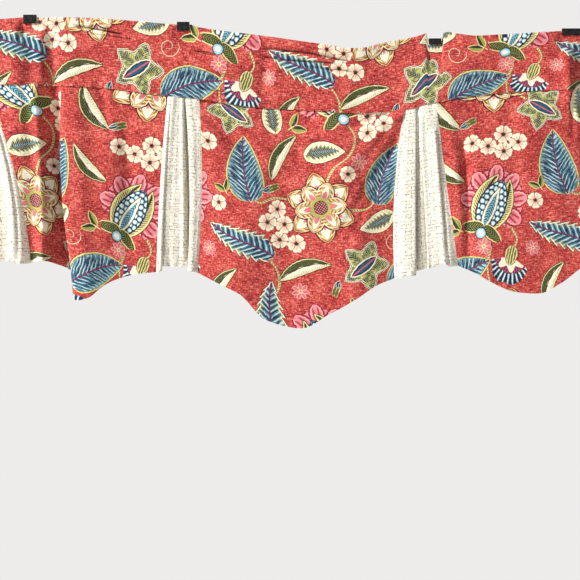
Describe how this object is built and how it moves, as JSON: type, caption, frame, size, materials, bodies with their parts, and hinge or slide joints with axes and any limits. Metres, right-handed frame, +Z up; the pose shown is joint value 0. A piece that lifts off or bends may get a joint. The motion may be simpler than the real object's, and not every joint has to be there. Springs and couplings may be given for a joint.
{
  "type": "scalloped window valance with hanging clips",
  "caption": "Scalloped cloth window valance with a header band, printed panels and plain pleat inserts, hung by its top edge from black clips.",
  "frame": {"origin": "on the top edge, in the middle of the middle scallop, in the plane of the wall that the clips' backs stand against", "axes": "+X to the right as one faces the valance, +Y towards the wall, +Z up"},
  "size_m": [1.2498, 0.0262, 0.5028],
  "materials": {
    "printed_cloth": "matte slubby cotton with a floral print",
    "plain_cloth": "matte crinkled cotton with a fine broken check",
    "clip": "satin black"
  },
  "bodies": {
    "root": {"header": "printed_cloth", "panel_left": "printed_cloth", "panel_middle": "printed_cloth", "panel_right": "printed_cloth", "end_left": "printed_cloth", "end_right": "printed_cloth", "pleat_1": "plain_cloth", "pleat_2": "plain_cloth", "pleat_3": "plain_cloth", "pleat_4": "plain_cloth", "clip_1": "clip", "clip_2": "clip", "clip_3": "clip", "clip_4": "clip", "clip_5": "clip", "clip_6": "clip"}
  },
  "joints": []
}
